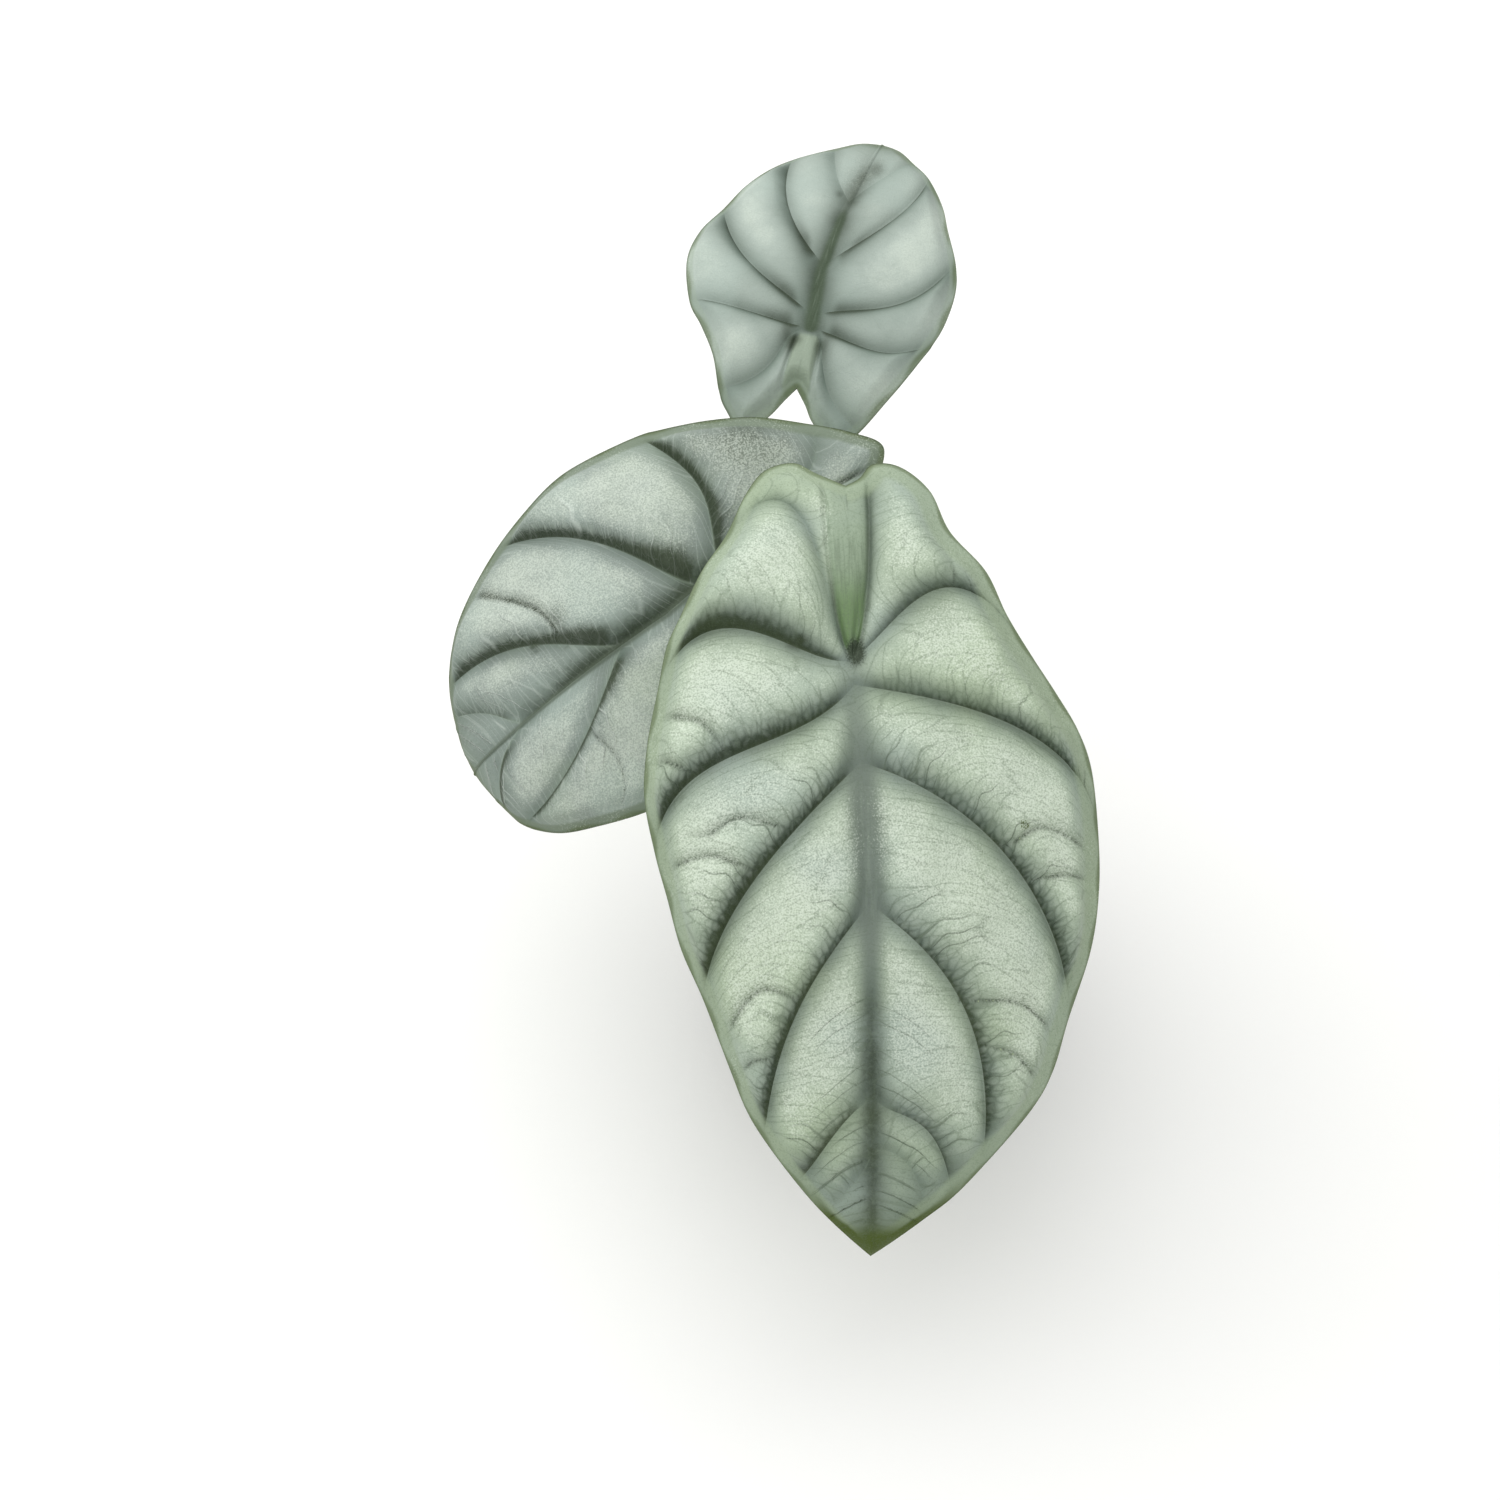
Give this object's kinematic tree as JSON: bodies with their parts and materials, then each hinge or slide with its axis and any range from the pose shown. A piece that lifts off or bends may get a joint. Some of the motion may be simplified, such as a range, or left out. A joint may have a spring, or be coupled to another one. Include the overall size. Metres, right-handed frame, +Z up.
{
  "type": "potted alocasia plant",
  "caption": "Small foliage plant in a plain round nursery pot: quilted, pointed leaves with dark sunken veins on arching stalks above a filling of bark mix.",
  "frame": {"origin": "centre of the pot's underside, on the surface that the pot stands on", "axes": "+Z up along the pot's axis, -Y the side that the largest leaf hangs over, +X to the right when seen from that side"},
  "size_m": [0.1398, 0.2346, 0.1765],
  "materials": {
    "leaf_front": "silver-green quilted leaf, satin",
    "leaf_left": "silver-grey quilted leaf, satin",
    "leaf_back": "pale silver-grey leaf, satin",
    "stalk": "pale green stalk, satin",
    "crown": "green stalk sheaths with dry brown edges",
    "soil": "moist bark and peat mix, rough",
    "pot": "charcoal moulded polypropylene"
  },
  "bodies": {
    "root": {"leaf_front": "leaf_front", "leaf_left": "leaf_left", "leaf_back": "leaf_back", "stalk_front": "stalk", "stalk_left": "stalk", "stalk_back": "stalk", "crown": "crown", "soil": "soil", "pot": "pot"}
  },
  "joints": []
}
